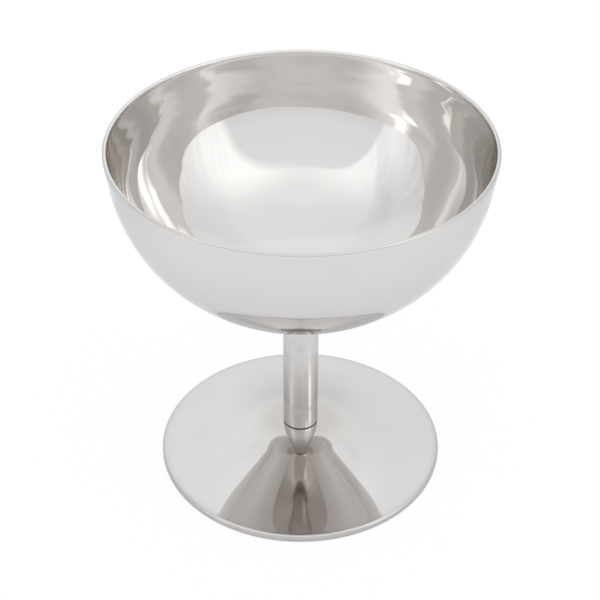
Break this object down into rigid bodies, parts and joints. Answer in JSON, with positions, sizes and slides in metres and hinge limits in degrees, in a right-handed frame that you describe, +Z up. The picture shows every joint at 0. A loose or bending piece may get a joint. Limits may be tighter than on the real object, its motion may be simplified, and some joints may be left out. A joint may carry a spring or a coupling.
{
  "type": "sundae cup",
  "caption": "Footed steel dessert cup: a deep round bowl with a thin rolled lip on a slim tube stem and a round flared foot, clamped together by a hidden stud and nut.",
  "frame": {"origin": "on the table, at the centre of the foot's resting ring", "axes": "+Z up along the cup's own axis; the cup is round, so X and Y are alike"},
  "size_m": [0.103, 0.103, 0.1049],
  "materials": {
    "polished_steel": "bright polished, with faint spinning lines",
    "satin_steel": "satin, with fine lines round the tube",
    "plain_steel": "plain bright fastener finish"
  },
  "bodies": {
    "root": {"bowl": "polished_steel", "stem_tube": "satin_steel", "foot": "polished_steel", "weld_stud": "plain_steel", "washer": "plain_steel", "nut": "plain_steel"}
  },
  "joints": []
}
